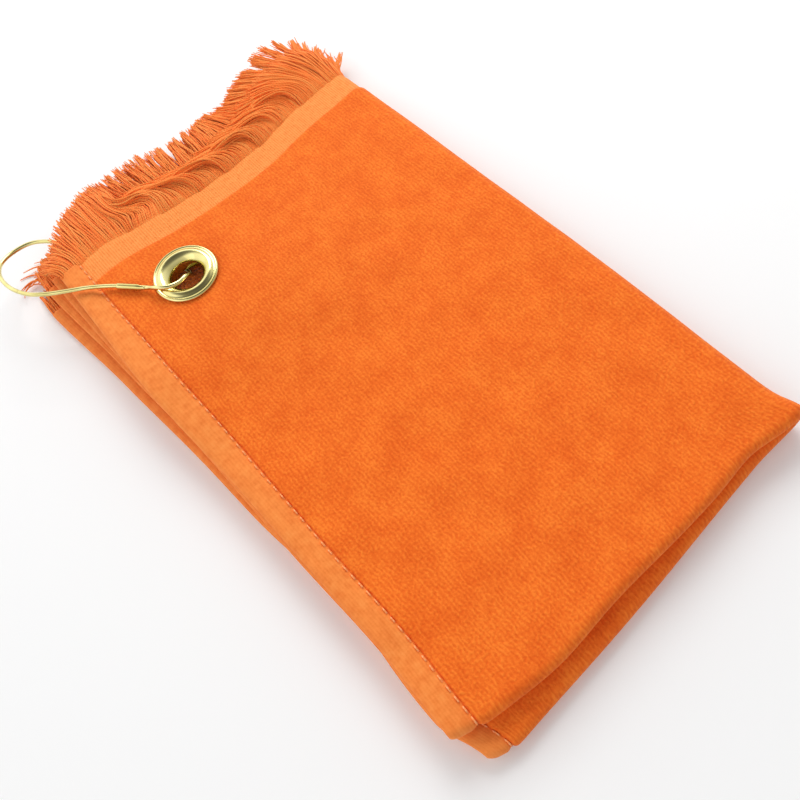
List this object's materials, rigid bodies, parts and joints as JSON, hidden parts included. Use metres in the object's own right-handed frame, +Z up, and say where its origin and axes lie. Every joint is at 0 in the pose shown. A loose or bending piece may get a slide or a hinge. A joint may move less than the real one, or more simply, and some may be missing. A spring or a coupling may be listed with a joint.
{
  "type": "golf towel",
  "caption": "Fringed cotton velour hand towel folded in four, with a brass grommet in one corner and a spring-wire hook to clip it to a golf bag.",
  "frame": {"origin": "bottom centre of the folded towel with its hook, on the surface it lies on", "axes": "+Z up through the layers; +Y along the towel, from the near fold to the fringes; +X across it, from the hems to the lengthwise fold"},
  "size_m": [0.1628, 0.2712, 0.0201],
  "materials": {
    "velour": "matte",
    "flat_weave": "matte",
    "fringe_yarn": "matte",
    "sewing_thread": "satin",
    "brass": "polished"
  },
  "bodies": {
    "lower_half": {"lower_cloth": "velour", "lower_hem": "flat_weave", "lower_hem_thread": "sewing_thread", "lower_inner_band": "flat_weave", "lower_inner_fringe": "fringe_yarn", "lower_outer_band": "flat_weave", "lower_outer_fringe": "fringe_yarn"},
    "upper_half": {"upper_cloth": "velour", "upper_hem": "flat_weave", "upper_hem_thread": "sewing_thread", "upper_inner_band": "flat_weave", "upper_inner_fringe": "fringe_yarn", "upper_outer_band": "flat_weave", "upper_outer_fringe": "fringe_yarn", "grommet_eyelet": "brass", "grommet_washer": "brass"},
    "hook": {"hook_wire": "brass", "hook_sleeve": "brass"},
    "gate": {"hook_gate": "brass"}
  },
  "joints": [
    {"name": "lengthwise_fold", "type": "hinge", "parent": "lower_half", "child": "upper_half", "pos_m": [0.08143, 0, 0.00605], "axis": [0, 1, 0], "range_deg": [0, 172]},
    {"name": "hook_swivel", "type": "hinge", "parent": "upper_half", "child": "hook", "pos_m": [-0.02777, 0.05133, 0.0147], "axis": [0, 0, 1], "range_deg": [-15, 40]},
    {"name": "gate_spring", "type": "hinge", "parent": "hook", "child": "gate", "pos_m": [-0.0725, 0.08336, 0.01755], "axis": [0, 0, 1], "range_deg": [0, 12], "stiffness_Nm_per_rad": 0.3}
  ]
}
